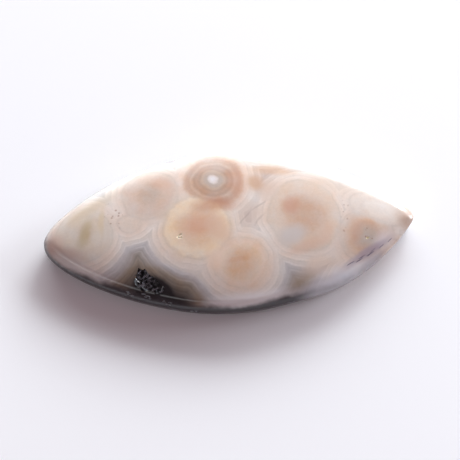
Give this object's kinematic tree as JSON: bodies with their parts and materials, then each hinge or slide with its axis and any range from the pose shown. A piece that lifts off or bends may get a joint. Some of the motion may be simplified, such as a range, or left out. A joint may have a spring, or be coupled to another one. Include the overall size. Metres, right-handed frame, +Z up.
{
  "type": "ocean jasper cabochon",
  "caption": "Freeform marquise cabochon of polished ocean jasper: low domed top, crisp shoulder, rounded side wall, flat back, and a small open crystal pocket at the front edge.",
  "frame": {"origin": "centre of the bounding box in plan, at the flat back the stone lies on", "axes": "+X along the length towards the sharper tip, +Y towards the rear edge, away from the edge with the crystal pocket, +Z up out of the domed top"},
  "size_m": [0.05, 0.0238, 0.0052],
  "materials": {
    "polished_jasper": "polished",
    "quartz_crystal": "natural crystal faces"
  },
  "bodies": {
    "root": {"cabochon": "polished_jasper", "pocket_crystals": "quartz_crystal"}
  },
  "joints": []
}
